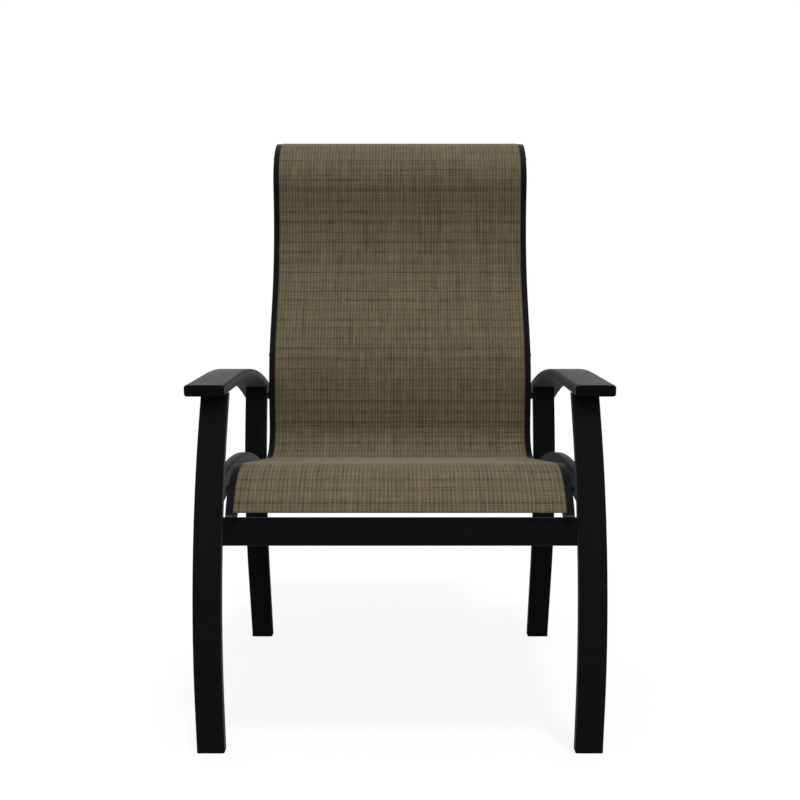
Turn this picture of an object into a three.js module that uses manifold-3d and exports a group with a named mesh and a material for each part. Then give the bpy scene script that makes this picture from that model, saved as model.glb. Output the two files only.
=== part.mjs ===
// A high-back sling patio chair: a welded frame of flat aluminium extrusions, and between its sides
// a pair of bent rails with a woven sling stretched from groove to groove.
// Millimetres, +Z up. The sitter looks along -Y, and the sitter's left is +X.

import * as THREE from 'three';
import { mergeVertices, toCreasedNormals } from 'three/addons/utils/BufferGeometryUtils.js';
import Module from 'manifold-3d';

const kernel = await Module();
kernel.setup();

// Clearances and the fineness of the facets
const joinGap = 0.3; // between two pieces that are welded, screwed or laid together
const plugGap = 0.5; // between a plug and the tube that it is pushed into
const chordSag = 0.5; // how far a facet may lie inside its bend
const weldTolerance = 0.0005; // corners closer than this are one corner
const cutOverrun = 4; // how far a drill goes past what it cuts
const cutReach = 2000; // the size of the blocks that cut a bar to its neighbour, more than any bar's length

// Leg extrusion, wide side across the chair
const legWidth = 44;
const legDepth = 18;
const legWall = 2;
const legCornerRadius = 2.5;
const legInnerX = 277.2; // from the middle of the chair to the inner face of a leg

// Front leg, along its front face from the floor up; angles are from level, in degrees
const frontFootAngle = 97.6;
const frontFootStraight = 81;
const frontLegRadius = 819;
const frontLegBendAngle = 32.5;

// Rear leg, likewise
const rearFootAngle = 106.7;
const rearFootStraight = 158.5;
const rearLegRadius = 692;
const rearLegBendAngle = 27;

// Foot glide
const soleThickness = 4;
const soleEdgeRadius = 2.5;
const footPlugLength = 16;

// Arm extrusion, along its top face from the front
const armWidth = 63.5;
const armDepth = 18.3;
const armWall = 2;
const armCornerRadius = 4.5;
const armFrontHeight = 581.5;
const armFrontSetback = 40.7; // behind the front corner of the front foot
const armFrontAngle = 3.7;
const armFrontStraight = 175;
const armRadius = 1060;
const armRearOverhang = 95; // past the back of the rear leg
const armCapThickness = 2.8;
const armCapEdgeRadius = 1.6;
const armPlugLength = 12;

// Side stretcher, along its top face from the front leg
const stretcherWidth = 15;
const stretcherDepth = 39;
const stretcherWall = 1.5;
const stretcherCornerRadius = 2;
const stretcherAboveBolt = 21.8; // from the front rail bolt up to the stretcher's top face
const stretcherFrontAngle = 10.7;
const stretcherRadius = 824;

// Crossbars
const crossbarHeight = 44;
const crossbarDepth = 12.7;
const crossbarWall = 2;
const crossbarCornerRadius = 3;
const frontCrossbarBottom = 332;
const rearCrossbarDrop = 14; // below the front crossbar

// Sling rail extrusion: u runs inwards from the outer face, v is the height over the front face
const railWidth = 16;
const railDepth = 25.4;
const railWall = 1.6;
const railCornerRadius = 2.2;
const railLipRadius = 1.2;
const railGap = 5.9; // between a rail and the legs beside it
const grooveRadius = 3.5;
const grooveCentreInset = 4.8; // from the inner face to the middle of the groove's bore
const slotWidth = 1.6;
const slotInset = 2.3; // from the inner face to the slot

// Sling rail bends, along the front face from the rail's foot up to its top
const railFootOverhang = 8.1; // ahead of the front crossbar
const railFootAngle = 70.5;
const railFootStraight = 19.6;
const seatFrontRadius = 107.4;
const seatFrontBendAngle = 77;
const seatStraight = 348;
const seatBackRadius = 56;
const seatBackBendAngle = 98.3;
const lumbarStraight = 67.6;
const lumbarRadius = 257.6;
const lumbarBendAngle = 27.7;
const backStraight = 86.2;
const shoulderRadius = 408;
const shoulderBendAngle = 33.9;
const topCurlRadius = 97;
const topCurlBendAngle = 96.8;
const topStraight = 10;
const railCutRise = 18.5; // from the start of the outline up to the crossbar
const railCapThickness = 2;
const railCapEdgeRadius = 0.9;
const railPlugLength = 6;

// Sling and the splines that hold it in the grooves
const clothThickness = 0.7;
const splineRadius = 2.1;
const slingFrontTrim = 29.5; // the outline's length below the front hem
const slingTopTrim = 5; // the outline's length past the top hem

// Spreader bars between the rails
const spreaderHeight = 25;
const spreaderDepth = 11.5;
const spreaderWall = 1.6;
const spreaderCornerRadius = 3;
const spreaderSetback = 7.6; // from the rails' front face
const seatSpreaderSetback = 132.5; // along the rail from the front bolt
const backSpreaderRise = 88; // along the rail from the rear bolt
const topSpreaderDrop = 92; // along the rail from its top end

// Rail bolts with their spacers and the rivet nuts that they screw into
const boltRadius = 3;
const boltHeadRadius = 5.2;
const boltHeadHeight = 3.2;
const frontBoltSetback = 14.2; // behind the front leg
const rearBoltDrop = 15.3; // below the arm
const spacerRadius = 5;
const nutFlangeRadius = 5.6;
const nutFlangeThickness = 0.8;
const nutBodyRadius = 4.3;
const nutBulgeRadius = 5.4;
const nutBulgeLength = 6;

// Spreader screws
const screwRadius = 2;
const screwHeadRadius = 4;
const screwHeadHeight = 2.2;
const screwGrip = 18; // into the spreader

// Facets around the round pieces and corners
const cornerSteps = 2;
const railBackCornerSteps = 1;
const grooveSteps = 7;
const splineSides = 6;
const hemSteps = 6;
const fastenerSides = 12;
const screwSides = 10;
const edgeSteps = 2;
const creaseAngle = 35; // facets that meet at less are shaded as one surface
const fullAngle = 360;

// Shares of a screw head's radius and height that shape its dome
const domeRadiusShare = 0.68;
const domeShoulderShare = 0.4;
const domeCrownShare = 0.93;

// Sizes that follow from the others
const railOuterX = legInnerX - railGap;
const railInnerX = railOuterX - railWidth;
const crossbarTop = frontCrossbarBottom + crossbarHeight;
const slotCentre = railWidth - slotInset - slotWidth / 2;
const grooveCentre = new THREE.Vector2(railWidth - grooveCentreInset, -railWall - grooveRadius);
const chamberTop = grooveCentre.y - grooveRadius - railWall;
const boltDepth = (railDepth - railWall - chamberTop) / 2;
const hemInnerRadius = splineRadius + joinGap;
const hemOuterRadius = hemInnerRadius + clothThickness;

const sides = [
	{ name: 'left', sign: 1 },
	{ name: 'right', sign: -1 },
];

const { degToRad, radToDeg } = THREE.MathUtils;

// A path in the chair's side plane, made of straights and round bends. A part is { straight } or
// { radius, turn }, and a positive turn bends the path upwards. Its stations are the places
// where a section is set.
class BentPath {

	constructor( y, z, direction, parts ) {

		this.stations = [ { y, z, angle: degToRad( direction ), along: 0 } ];

		for ( const part of parts ) {

			if ( part.straight !== undefined ) this.addStraight( part.straight );
			else this.addBend( part.radius, degToRad( part.turn ) );

		}

	}

	get end() {

		return this.stations[ this.stations.length - 1 ];

	}

	get length() {

		return this.end.along;

	}

	addStraight( length ) {

		const { y, z, angle, along } = this.end;
		this.stations.push( {
			y: y + length * Math.cos( angle ),
			z: z + length * Math.sin( angle ),
			angle,
			along: along + length,
		} );

	}

	addBend( radius, turn ) {

		const { y, z, angle, along } = this.end;
		const bow = Math.sign( turn ) * radius;
		const centreY = y - bow * Math.sin( angle );
		const centreZ = z + bow * Math.cos( angle );
		const finest = 2 * Math.acos( 1 - chordSag / radius );
		const count = Math.ceil( Math.abs( turn ) / finest );

		for ( let i = 1; i <= count; i ++ ) {

			const turned = angle + turn * i / count;
			this.stations.push( {
				y: centreY + bow * Math.sin( turned ),
				z: centreZ - bow * Math.cos( turned ),
				angle: turned,
				along: along + Math.abs( turn ) * radius * i / count,
			} );

		}

	}

	// The first place on the facets where a measure of the stations rises past zero.
	find( measure ) {

		const last = this.stations.length - 1;
		let i = 1;
		while ( i < last && measure( this.stations[ i ] ) < 0 ) i ++;
		const from = this.stations[ i - 1 ];
		const to = this.stations[ i ];
		const share = measure( from ) / ( measure( from ) - measure( to ) );
		const place = {};
		for ( const key of Object.keys( from ) ) {

			place[ key ] = THREE.MathUtils.lerp( from[ key ], to[ key ], share );

		}

		return place;

	}

	at( along ) {

		return this.find( ( station ) => station.along - along );

	}

	// Where the face at a depth behind the front face crosses a height.
	crossing( depth, height ) {

		return behind( this.find( ( station ) => behind( station, depth ).y - height ), depth );

	}

	// The stations from one length to another.
	between( from, to ) {

		const inside = this.stations.filter( ( station ) => station.along > from && station.along < to );
		return [ this.at( from ), ...inside, this.at( to ) ];

	}

	shifted( y ) {

		const moved = Object.create( BentPath.prototype );
		moved.stations = this.stations.map( ( station ) => ( { ...station, y: station.y + y } ) );
		return moved;

	}

}

// A place as deep as asked behind the path's front face.
function behind( station, depth ) {

	return new THREE.Vector2(
		station.y + depth * Math.sin( station.angle ),
		station.z - depth * Math.cos( station.angle ),
	);

}

// The curve that a section follows: bends get many sections, and straights only their ends.
class StationCurve extends THREE.Curve {

	constructor( stations, x ) {

		super();
		this.stations = stations;
		this.x = x;

	}

	station( share ) {

		return this.stations[ Math.round( share * ( this.stations.length - 1 ) ) ];

	}

	getPointAt( share, target = new THREE.Vector3() ) {

		const { y, z } = this.station( share );
		return target.set( this.x, y, z );

	}

	getTangentAt( share, target = new THREE.Vector3() ) {

		const { angle } = this.station( share );
		return target.set( 0, Math.cos( angle ), Math.sin( angle ) );

	}

}

// Outlines are lists of points. On a swept piece x runs towards -X and y out of the front face.
function arc( centreX, centreY, radius, from, to, steps ) {

	return Array.from( { length: steps + 1 }, ( _, i ) => {

		const angle = degToRad( from + ( to - from ) * i / steps );
		const out = new THREE.Vector2( Math.cos( angle ), Math.sin( angle ) ).multiplyScalar( radius );
		return out.add( new THREE.Vector2( centreX, centreY ) );

	} );

}

function roundedRectangle( left, right, bottom, top, radius, steps ) {

	return [
		...arc( left + radius, bottom + radius, radius, 180, 270, steps ),
		...arc( right - radius, bottom + radius, radius, 270, 360, steps ),
		...arc( right - radius, top - radius, radius, 0, 90, steps ),
		...arc( left + radius, top - radius, radius, 90, 180, steps ),
	];

}

function rectangle( left, right, bottom, top ) {

	return [
		new THREE.Vector2( left, bottom ),
		new THREE.Vector2( right, bottom ),
		new THREE.Vector2( right, top ),
		new THREE.Vector2( left, top ),
	];

}

function polygon( centreX, centreY, radius, count ) {

	return arc( centreX, centreY, radius, 0, 360, count ).slice( 0, count );

}

// The same outline for either side of the chair, always in the same turning direction.
function handed( points, sign ) {

	const moved = points.map( ( point ) => new THREE.Vector2( sign * point.x, point.y ) );
	return sign < 0 ? moved.reverse() : moved;

}

function flatShape( outline, holes = [] ) {

	const shape = new THREE.Shape( outline );
	shape.holes = holes.map( ( hole ) => new THREE.Path( hole ) );
	return shape;

}

// A rectangular tube's section, with its front face on y = 0.
function tubeSection( width, depth, radius, wall ) {

	const half = width / 2;
	return {
		outline: roundedRectangle( - half, half, - depth, 0, radius, cornerSteps ),
		hollow: rectangle( wall - half, half - wall, wall - depth, - wall ),
	};

}

// What is left of a tube's hollow for a plug.
function plugOutline( width, depth, wall ) {

	const inset = wall + plugGap;
	const half = width / 2 - inset;
	return rectangle( - half, half, inset - depth, - inset );

}

function sweep( outline, holes, stations, x ) {

	return new THREE.ExtrudeGeometry( flatShape( outline, holes ), {
		steps: stations.length - 1,
		extrudePath: new StationCurve( stations, x ),
	} );

}

// The surface without doubled corners, or the empty triangles where a turned piece meets its axis.
function welded( geometry ) {

	const bare = geometry.clone();
	bare.deleteAttribute( 'normal' );
	bare.deleteAttribute( 'uv' );
	const merged = mergeVertices( bare, weldTolerance );
	const corners = [];

	for ( let i = 0; i < merged.index.count; i += 3 ) {

		const [ a, b, c ] = merged.index.array.slice( i, i + 3 );
		if ( a !== b && b !== c && c !== a ) corners.push( a, b, c );

	}

	return merged.setIndex( corners );

}

// Cutting and joining
function toSolid( geometry ) {

	const surface = welded( geometry );
	return new kernel.Manifold( new kernel.Mesh( {
		numProp: 3,
		vertProperties: new Float32Array( surface.getAttribute( 'position' ).array ),
		triVerts: new Uint32Array( surface.index.array ),
	} ) );

}

function toGeometry( solid ) {

	const mesh = solid.getMesh();
	const geometry = new THREE.BufferGeometry();
	geometry.setAttribute( 'position', new THREE.BufferAttribute( mesh.vertProperties, 3 ) );
	geometry.setIndex( new THREE.BufferAttribute( mesh.triVerts, 1 ) );
	return toCreasedNormals( geometry, degToRad( creaseAngle ) );

}

function box( low, high ) {

	const size = new THREE.Vector3().subVectors( high, low );
	const geometry = new THREE.BoxGeometry( size.x, size.y, size.z );
	const middle = new THREE.Vector3().addVectors( low, high ).multiplyScalar( 0.5 );
	return toSolid( geometry.translate( middle.x, middle.y, middle.z ) );

}

// Everything between two heights.
function slab( low, high ) {

	return box(
		new THREE.Vector3( - cutReach, - cutReach, low ),
		new THREE.Vector3( cutReach, cutReach, high ),
	);

}

// A block that starts on a line in the side plane and goes on to (farY, farZ) from it.
function sideBlock( line, farY, farZ ) {

	const first = line[ 0 ];
	const last = line[ line.length - 1 ];
	const outline = [
		...line,
		new THREE.Vector2( last.x + farY, last.y + farZ ),
		new THREE.Vector2( first.x + farY, first.y + farZ ),
	];
	const reach = { depth: 2 * cutReach, bevelEnabled: false };
	const geometry = new THREE.ExtrudeGeometry( flatShape( outline ), reach );
	const across = new THREE.Vector3( 1, 0, 0 );
	const back = new THREE.Vector3( 0, 1, 0 );
	const up = new THREE.Vector3( 0, 0, 1 );
	geometry.applyMatrix4( new THREE.Matrix4().makeBasis( back, up, across ) );
	return toSolid( geometry.translate( - cutReach, 0, 0 ) );

}

// A straight bar across the chair. Its outline's x runs along the direction and y out of that face.
function barAcross( outline, hollows, length, angle, place ) {

	const prism = ( points, depth ) => {

		const geometry = new THREE.ExtrudeGeometry( flatShape( points ), { depth, bevelEnabled: false } );
		return toSolid( geometry.translate( 0, 0, - depth / 2 ) );

	};

	let bar = prism( outline, length );
	for ( const hollow of hollows ) bar = bar.subtract( prism( hollow, length + 2 * cutOverrun ) );
	const along = new THREE.Vector3( 0, Math.cos( angle ), Math.sin( angle ) );
	const out = new THREE.Vector3( 0, - along.z, along.y );
	const across = new THREE.Vector3( 1, 0, 0 );
	const matrix = new THREE.Matrix4().makeBasis( along, out, across ).setPosition( 0, place.x, place.y );
	return toGeometry( bar.transform( matrix.toArray() ) );

}

// A round piece from its profile of (radius, length) points, laid along X.
function turned( profile, segments, direction, x, y, z ) {

	const geometry = welded( new THREE.LatheGeometry( profile, segments ) );
	geometry.rotateZ( - direction * Math.PI / 2 );
	return toCreasedNormals( geometry.translate( x, y, z ), degToRad( creaseAngle ) );

}

function crossDrill( place, radius, fromX, toX, segments ) {

	const low = Math.min( fromX, toX );
	const length = Math.abs( toX - fromX );
	const profile = [
		new THREE.Vector2( 0, 0 ),
		new THREE.Vector2( radius, 0 ),
		new THREE.Vector2( radius, length ),
		new THREE.Vector2( 0, length ),
	];
	return toSolid( turned( profile, segments, 1, low, place.x, place.y ) );

}

// A flat plate whose outer edge is rounded. It lies on z = 0 and points along +z.
function endPlate( outline, thickness, edgeRadius ) {

	const plate = toSolid( new THREE.ExtrudeGeometry( flatShape( outline ), {
		depth: thickness - edgeRadius,
		bevelThickness: edgeRadius,
		bevelSize: edgeRadius,
		bevelOffset: - edgeRadius,
		bevelSegments: edgeSteps,
	} ) );
	return plate.intersect( slab( 0, thickness + cutOverrun ) );

}

// Where a plate goes that closes a swept piece. It points back along the path at its start.
function endMatrix( station, x, atStart ) {

	const along = new THREE.Vector3( 0, Math.cos( station.angle ), Math.sin( station.angle ) );
	const out = new THREE.Vector3( 0, - along.z, along.y );
	const across = new THREE.Vector3( atStart ? 1 : - 1, 0, 0 );
	if ( atStart ) along.negate();
	const place = new THREE.Vector3( x, station.y, station.z ).addScaledVector( along, joinGap );
	return new THREE.Matrix4().makeBasis( across, out, along ).setPosition( place );

}

// The places that tie the frame together, from the front legs and the arms back to the rear legs
const frontLegPath = new BentPath( 0, 0, frontFootAngle, [
	{ straight: frontFootStraight },
	{ radius: frontLegRadius, turn: - frontLegBendAngle },
	{ straight: armFrontHeight },
] );

const frontCrossbarMiddle = frontCrossbarBottom + crossbarHeight / 2;
const frontCrossbarY = frontLegPath.crossing( legDepth, frontCrossbarMiddle ).x - crossbarDepth;

const railPath = new BentPath( 0, crossbarTop - railCutRise, railFootAngle, [
	{ straight: railFootStraight },
	{ radius: seatFrontRadius, turn: - seatFrontBendAngle },
	{ straight: seatStraight },
	{ radius: seatBackRadius, turn: seatBackBendAngle },
	{ straight: lumbarStraight },
	{ radius: lumbarRadius, turn: - lumbarBendAngle },
	{ straight: backStraight },
	{ radius: shoulderRadius, turn: shoulderBendAngle },
	{ radius: topCurlRadius, turn: - topCurlBendAngle },
	{ straight: topStraight },
] ).shifted( frontCrossbarY - railFootOverhang - railCutRise / Math.tan( degToRad( railFootAngle ) ) );

// The front bolt is a set distance behind the front leg.
const frontBoltStation = railPath.find( ( station ) => {

	const middle = behind( station, boltDepth );
	return middle.x - frontLegPath.crossing( legDepth, middle.y ).x - frontBoltSetback;

} );
const frontBolt = behind( frontBoltStation, boltDepth );

// The rear bolt is a set distance under the arm's arch.
const armSlope = degToRad( armFrontAngle );
const armBendY = armFrontSetback + armFrontStraight * Math.cos( armSlope );
const armBendZ = armFrontHeight + armFrontStraight * Math.sin( armSlope );
const armCentreY = armBendY + armRadius * Math.sin( armSlope );
const armCentreZ = armBendZ - armRadius * Math.cos( armSlope );
const rearBoltStation = railPath.find( ( station ) => {

	const middle = behind( station, boltDepth );
	const underside = Math.hypot( middle.x - armCentreY, middle.y - armCentreZ ) + armDepth - armRadius;
	return underside + rearBoltDrop;

} );
const rearBolt = behind( rearBoltStation, boltDepth );

// The rear legs stand where the rear bolts meet the middle of their depth.
const rearLegOutline = new BentPath( 0, 0, rearFootAngle, [
	{ straight: rearFootStraight },
	{ radius: rearLegRadius, turn: - rearLegBendAngle },
	{ straight: armFrontHeight },
] );
const rearLegMiddle = rearLegOutline.crossing( legDepth / 2, rearBolt.y );
const rearLegPath = rearLegOutline.shifted( rearBolt.x - rearLegMiddle.x );

// How far an arched bar turns from where its bend starts until it has reached y.
function archTurn( startY, angle, radius, endY ) {

	const endSine = Math.sin( degToRad( angle ) ) - ( endY - startY ) / radius;
	return radToDeg( Math.asin( endSine ) ) - angle;

}

const armEndY = rearLegPath.crossing( legDepth, armFrontHeight ).x + armRearOverhang;
const armPath = new BentPath( armFrontSetback, armFrontHeight, armFrontAngle, [
	{ straight: armFrontStraight },
	{ radius: armRadius, turn: archTurn( armBendY, armFrontAngle, armRadius, armEndY ) },
] );

const stretcherTop = frontBolt.y + stretcherAboveBolt;
const stretcherStartY = frontLegPath.crossing( 0, stretcherTop ).x;
const stretcherEndY = rearLegPath.crossing( legDepth / 2, frontBolt.y - stretcherDepth ).x;
const stretcherTurn = archTurn( stretcherStartY, stretcherFrontAngle, stretcherRadius, stretcherEndY );
const stretcherPath = new BentPath( stretcherStartY, stretcherTop, stretcherFrontAngle, [
	{ radius: stretcherRadius, turn: stretcherTurn },
] );

// Lines that cut one bar to another, clear of it by the joint's gap
function faceLine( path, depth ) {

	return path.stations.map( ( station ) => behind( station, depth ) );

}

function extended( line ) {

	const first = line[ 0 ];
	const last = line[ line.length - 1 ];
	return [
		new THREE.Vector2( first.x - cutReach, first.y ),
		...line,
		new THREE.Vector2( last.x + cutReach, last.y ),
	];

}

const aboveArmUnderside = sideBlock( extended( faceLine( armPath, armDepth + joinGap ) ), 0, cutReach );
const aheadOfFrontLegBack = sideBlock( faceLine( frontLegPath, legDepth + joinGap ), - cutReach, 0 );
const behindRearLegFront = sideBlock( faceLine( rearLegPath, - joinGap ), cutReach, 0 );
const floorToSole = slab( - cutReach, soleThickness + joinGap );

// Welded frame
const legX = legInnerX + legWidth / 2;
const armX = legInnerX + armWidth / 2;
const nutHoleRadius = nutBodyRadius + joinGap;

// The legs are swept from below the floor, so that their ends are cut level.
function footRun( path ) {

	const foot = path.stations[ 0 ];
	const below = {
		y: foot.y - legDepth * Math.cos( foot.angle ),
		z: foot.z - legDepth * Math.sin( foot.angle ),
		angle: foot.angle,
		along: - legDepth,
	};
	return [ below, ...path.stations ];

}

function leg( path, side ) {

	const { outline, hollow } = tubeSection( legWidth, legDepth, legCornerRadius, legWall );
	const bar = toSolid( sweep( outline, [ hollow ], footRun( path ), side.sign * legX ) );
	return bar.subtract( aboveArmUnderside ).subtract( floorToSole );

}

// A hole for a rivet nut through the inner wall of a bar.
function nutHole( place, wall, side ) {

	const from = side.sign * ( legInnerX - cutOverrun );
	const to = side.sign * ( legInnerX + wall + cutOverrun );
	return crossDrill( place, nutHoleRadius, from, to, fastenerSides );

}

function frontLeg( side ) {

	return toGeometry( leg( frontLegPath, side ) );

}

function rearLeg( side ) {

	return toGeometry( leg( rearLegPath, side ).subtract( nutHole( rearBolt, legWall, side ) ) );

}

function sideStretcher( side ) {

	const { outline, hollow } = tubeSection(
		stretcherWidth, stretcherDepth, stretcherCornerRadius, stretcherWall,
	);
	const x = side.sign * ( legInnerX + stretcherWidth / 2 );
	const bar = toSolid( sweep( outline, [ hollow ], stretcherPath.stations, x ) );
	const fitted = bar.subtract( aheadOfFrontLegBack ).subtract( behindRearLegFront );
	return toGeometry( fitted.subtract( nutHole( frontBolt, stretcherWall, side ) ) );

}

function arm( side ) {

	const { outline, hollow } = tubeSection( armWidth, armDepth, armCornerRadius, armWall );
	return sweep( outline, [ hollow ], armPath.stations, side.sign * armX );

}

function crossbar( frontY, bottom ) {

	const { outline, hollow } = tubeSection(
		crossbarHeight, crossbarDepth, crossbarCornerRadius, crossbarWall,
	);
	const place = new THREE.Vector2( frontY, bottom + crossbarHeight / 2 );
	return barAcross( outline, [ hollow ], 2 * ( legInnerX - joinGap ), Math.PI / 2, place );

}

// Caps and glides, each a plate with a plug that goes into its tube
function armCap( side, atStart ) {

	const x = side.sign * armX;
	const { outline } = tubeSection( armWidth, armDepth, armCornerRadius, armWall );
	const station = atStart ? armPath.stations[ 0 ] : armPath.end;
	const place = endMatrix( station, x, atStart );
	const plate = endPlate( outline, armCapThickness, armCapEdgeRadius ).transform( place.toArray() );
	const near = atStart ? 0 : armPath.length - armPlugLength;
	const stations = armPath.between( near, near + armPlugLength );
	const joint = reaching( stations, atStart );
	const plug = toSolid( sweep( plugOutline( armWidth, armDepth, armWall ), [], joint, x ) );
	return toGeometry( plate.add( plug ) );

}

// A plug's stations, lengthened at its plate so that the two are one piece.
function reaching( stations, atStart ) {

	const end = atStart ? stations[ 0 ] : stations[ stations.length - 1 ];
	const length = ( atStart ? - 1 : 1 ) * ( joinGap + armCapEdgeRadius / 2 );
	const inPlate = {
		y: end.y + length * Math.cos( end.angle ),
		z: end.z + length * Math.sin( end.angle ),
		angle: end.angle,
		along: end.along + length,
	};
	return atStart ? [ inPlate, ...stations ] : [ ...stations, inPlate ];

}

function footGlide( path, side ) {

	const x = side.sign * legX;
	const front = path.crossing( 0, soleThickness );
	const depth = path.crossing( legDepth, soleThickness ).x - front.x;
	const half = legWidth / 2;
	const outline = roundedRectangle( - half, half, - depth / 2, depth / 2, legCornerRadius, cornerSteps );
	const plate = endPlate( outline, soleThickness, soleEdgeRadius );
	const across = new THREE.Vector3( 1, 0, 0 );
	const ahead = new THREE.Vector3( 0, - 1, 0 );
	const down = new THREE.Vector3( 0, 0, - 1 );
	const place = new THREE.Matrix4().makeBasis( across, ahead, down );
	place.setPosition( x, front.x + depth / 2, soleThickness );
	const plug = toSolid( sweep( plugOutline( legWidth, legDepth, legWall ), [], footRun( path ), x ) );
	const shortPlug = plug.intersect( slab( soleThickness / 2, soleThickness + footPlugLength ) );
	return toGeometry( plate.transform( place.toArray() ).add( shortPlug ) );

}

// Sling rails
function railOutline() {

	const corner = railCornerRadius;
	const slotInner = slotCentre + slotWidth / 2;
	const slotOuter = slotCentre - slotWidth / 2;
	const angleAt = ( u ) => radToDeg( Math.acos( ( u - grooveCentre.x ) / grooveRadius ) );
	const from = angleAt( slotInner );
	const to = angleAt( slotOuter ) - fullAngle;
	return [
		...arc( corner, corner - railDepth, corner, 180, 270, railBackCornerSteps ),
		...arc( railWidth - corner, corner - railDepth, corner, 270, 360, railBackCornerSteps ),
		...arc( railWidth - railLipRadius, - railLipRadius, railLipRadius, 0, 90, edgeSteps ),
		new THREE.Vector2( slotInner, 0 ),
		...arc( grooveCentre.x, grooveCentre.y, grooveRadius, from, to, grooveSteps ),
		new THREE.Vector2( slotOuter, 0 ),
		...arc( corner, - corner, corner, 90, 180, cornerSteps ),
	];

}

// The chamber behind the groove.
function railHollow( inset ) {

	const low = railWall + inset - railDepth;
	const high = chamberTop - inset;
	return rectangle( railWall + inset, railWidth - railWall - inset, low, high );

}

function plainRailOutline() {

	return roundedRectangle( 0, railWidth, - railDepth, 0, railCornerRadius, cornerSteps );

}

const boltHoleRadius = boltRadius + joinGap;
const screwHoleRadius = screwRadius + joinGap;
const railFootHeight = crossbarTop + joinGap;
const spreaderMiddle = spreaderSetback + spreaderDepth / 2;
const boltPlaces = { front: frontBolt, rear: rearBolt };
const spreaderStations = {
	seat: railPath.at( frontBoltStation.along + seatSpreaderSetback ),
	back: railPath.at( rearBoltStation.along + backSpreaderRise ),
	top: railPath.at( railPath.length - topSpreaderDrop ),
};
const screwPlaces = {};
for ( const [ name, station ] of Object.entries( spreaderStations ) ) {

	screwPlaces[ name ] = behind( station, spreaderMiddle );

}

function railDrill( place, radius, side, segments ) {

	const from = side.sign * ( railInnerX - cutOverrun );
	const to = side.sign * ( railOuterX + cutOverrun );
	return crossDrill( place, radius, from, to, segments );

}

function slingRail( side ) {

	const outline = handed( railOutline(), side.sign );
	const hollow = handed( railHollow( 0 ), side.sign );
	let rail = toSolid( sweep( outline, [ hollow ], railPath.stations, side.sign * railOuterX ) );
	rail = rail.subtract( slab( - cutReach, railFootHeight + railCapThickness + joinGap ) );

	for ( const bolt of Object.values( boltPlaces ) ) {

		rail = rail.subtract( railDrill( bolt, boltHoleRadius, side, fastenerSides ) );

	}

	for ( const screw of Object.values( screwPlaces ) ) {

		rail = rail.subtract( railDrill( screw, screwHoleRadius, side, screwSides ) );

	}

	return toGeometry( rail );

}

// The foot pad is cut level, as the rail's foot is, because it stands on the crossbar.
function railFootPad( side ) {

	const x = side.sign * railOuterX;
	const run = railPath.between( 0, frontBoltStation.along );
	const pad = toSolid( sweep( handed( plainRailOutline(), side.sign ), [], run, x ) );
	return toGeometry( pad.intersect( slab( railFootHeight, railFootHeight + railCapThickness ) ) );

}

function railTopCap( side ) {

	const x = side.sign * railOuterX;
	const place = endMatrix( railPath.end, x, false );
	const plate = endPlate( handed( plainRailOutline(), side.sign ), railCapThickness, railCapEdgeRadius );
	const run = reaching( railPath.between( railPath.length - railPlugLength, railPath.length ), false );
	const plug = toSolid( sweep( handed( railHollow( plugGap ), side.sign ), [], run, x ) );
	return toGeometry( plate.transform( place.toArray() ).add( plug ) );

}

// The sling, seen in section: it lies over the rails' inner lips, turns down through each slot,
// and ends in a hem around the spline in the groove's bore.
function slingSide() {

	const sheetOuter = railOuterX - slotCentre + clothThickness / 2;
	const sheetInner = sheetOuter - clothThickness;
	const hemX = railOuterX - grooveCentre.x;
	const top = joinGap + clothThickness;
	const angleAt = ( x ) => radToDeg( Math.acos( ( x - hemX ) / hemOuterRadius ) );
	const from = angleAt( sheetOuter );
	const to = angleAt( sheetInner ) - fullAngle;
	return [
		new THREE.Vector2( sheetOuter - clothThickness, top ),
		new THREE.Vector2( sheetOuter, joinGap ),
		...arc( hemX, grooveCentre.y, hemOuterRadius, from, to, hemSteps ),
		new THREE.Vector2( sheetInner, joinGap ),
	];

}

const slingStations = railPath.between( slingFrontTrim, railPath.length - slingTopTrim );

function slingFabric() {

	const right = slingSide();
	const left = handed( right, - 1 );
	const hemX = railOuterX - grooveCentre.x;
	const holes = [ hemX, - hemX ].map( ( x ) => polygon( x, grooveCentre.y, hemInnerRadius, splineSides ) );
	return sweep( [ ...right, ...left ], holes, slingStations, 0 );

}

function slingSpline( side ) {

	const outline = handed( polygon( grooveCentre.x, grooveCentre.y, splineRadius, splineSides ), side.sign );
	return sweep( outline, [], slingStations, side.sign * railOuterX );

}

// Spreader bars: an extrusion with a screw port between two chambers
function spreader( station ) {

	const halfHeight = spreaderHeight / 2;
	const halfDepth = spreaderDepth / 2;
	const portRadius = screwRadius + joinGap;
	const outline = roundedRectangle(
		- halfHeight, halfHeight, - halfDepth, halfDepth, spreaderCornerRadius, edgeSteps,
	);
	const chamber = rectangle(
		portRadius + spreaderWall, halfHeight - spreaderWall,
		spreaderWall - halfDepth, halfDepth - spreaderWall,
	);
	const hollows = [ chamber, handed( chamber, - 1 ), polygon( 0, 0, portRadius, screwSides ) ];
	const place = behind( station, spreaderMiddle );
	return barAcross( outline, hollows, 2 * ( railInnerX - joinGap ), station.angle, place );

}

// Fasteners
function screwProfile( radius, headRadius, headHeight, length ) {

	return [
		new THREE.Vector2( 0, - headHeight ),
		new THREE.Vector2( headRadius * domeRadiusShare, - headHeight * domeCrownShare ),
		new THREE.Vector2( headRadius, - headHeight * domeShoulderShare ),
		new THREE.Vector2( headRadius, 0 ),
		new THREE.Vector2( radius, 0 ),
		new THREE.Vector2( radius, length ),
		new THREE.Vector2( 0, length ),
	];

}

const boltLength = joinGap + railWidth + railGap + legWall + nutBulgeLength;
const nutFlangeInnerX = legInnerX - joinGap - nutFlangeThickness;

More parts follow.
